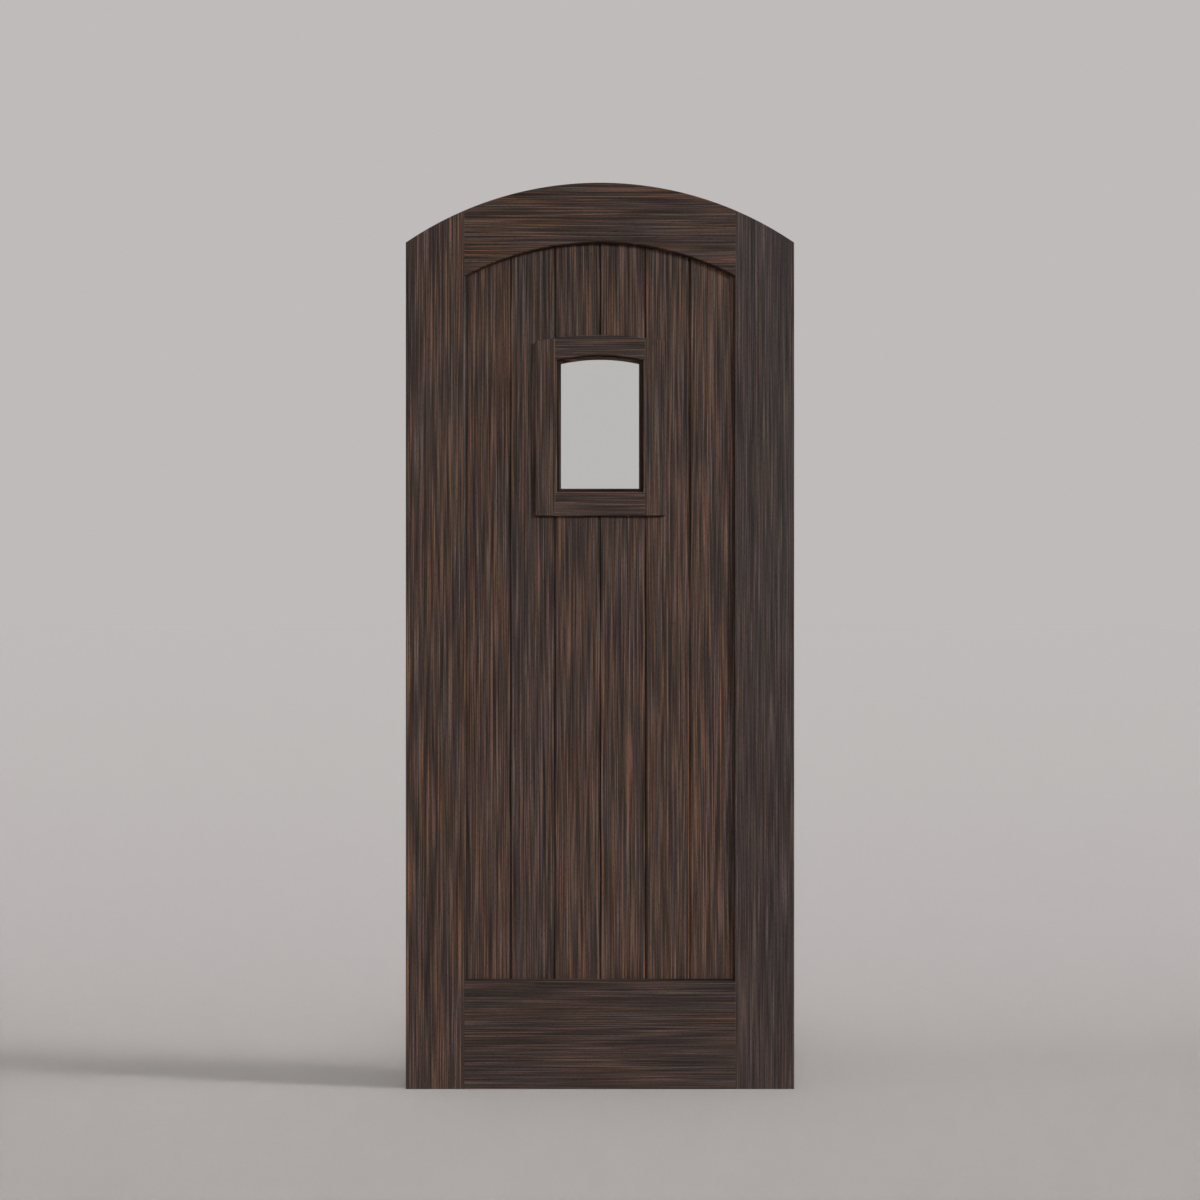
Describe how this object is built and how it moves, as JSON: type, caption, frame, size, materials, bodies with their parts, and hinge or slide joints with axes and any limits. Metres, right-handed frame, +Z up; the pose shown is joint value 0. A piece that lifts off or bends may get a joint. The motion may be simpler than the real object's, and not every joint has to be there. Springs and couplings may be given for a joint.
{
  "type": "arched wooden door",
  "caption": "Arched door leaf with stiles and rails around upright V-jointed planks, and a small glazed window in a raised casing with an arched head.",
  "frame": {"origin": "middle of the leaf's foot, halfway through its thickness", "axes": "+X to the right seen from the front, +Y from the front face to the back face, +Z up"},
  "size_m": [0.9144, 0.0572, 2.1335],
  "materials": {
    "frame_wood": "satin lacquer on dark streaked hardwood",
    "plank_wood": "satin lacquer on dark streaked hardwood",
    "window_wood": "satin lacquer on dark streaked hardwood",
    "glass": "clear",
    "glazing_tape": "matte foam",
    "setting_block": "matte",
    "dowel_wood": "raw",
    "steel": "zinc plated"
  },
  "bodies": {
    "root": {"left_stile": "frame_wood", "right_stile": "frame_wood", "top_rail": "frame_wood", "bottom_rail": "frame_wood", "plank_1": "plank_wood", "plank_2": "plank_wood", "plank_3_upper": "plank_wood", "plank_3_lower": "plank_wood", "plank_4_upper": "plank_wood", "plank_4_lower": "plank_wood", "plank_5": "plank_wood", "plank_6": "plank_wood", "front_casing_left": "window_wood", "front_casing_right": "window_wood", "front_casing_head": "window_wood", "front_casing_sill": "window_wood", "back_casing_left": "window_wood", "back_casing_right": "window_wood", "back_casing_head": "window_wood", "back_casing_sill": "window_wood", "window_lining_left": "window_wood", "window_lining_right": "window_wood", "window_lining_head": "window_wood", "window_lining_sill": "window_wood", "glazing_bead_left": "window_wood", "glazing_bead_right": "window_wood", "glazing_bead_head": "window_wood", "glazing_bead_sill": "window_wood", "glass_pane": "glass", "glazing_tape_front": "glazing_tape", "glazing_tape_back": "glazing_tape", "setting_blocks": "setting_block", "front_casing_dowels": "dowel_wood", "back_casing_dowels": "dowel_wood", "casing_screws": "steel", "casing_pins": "steel", "bead_pins": "steel"}
  },
  "joints": []
}
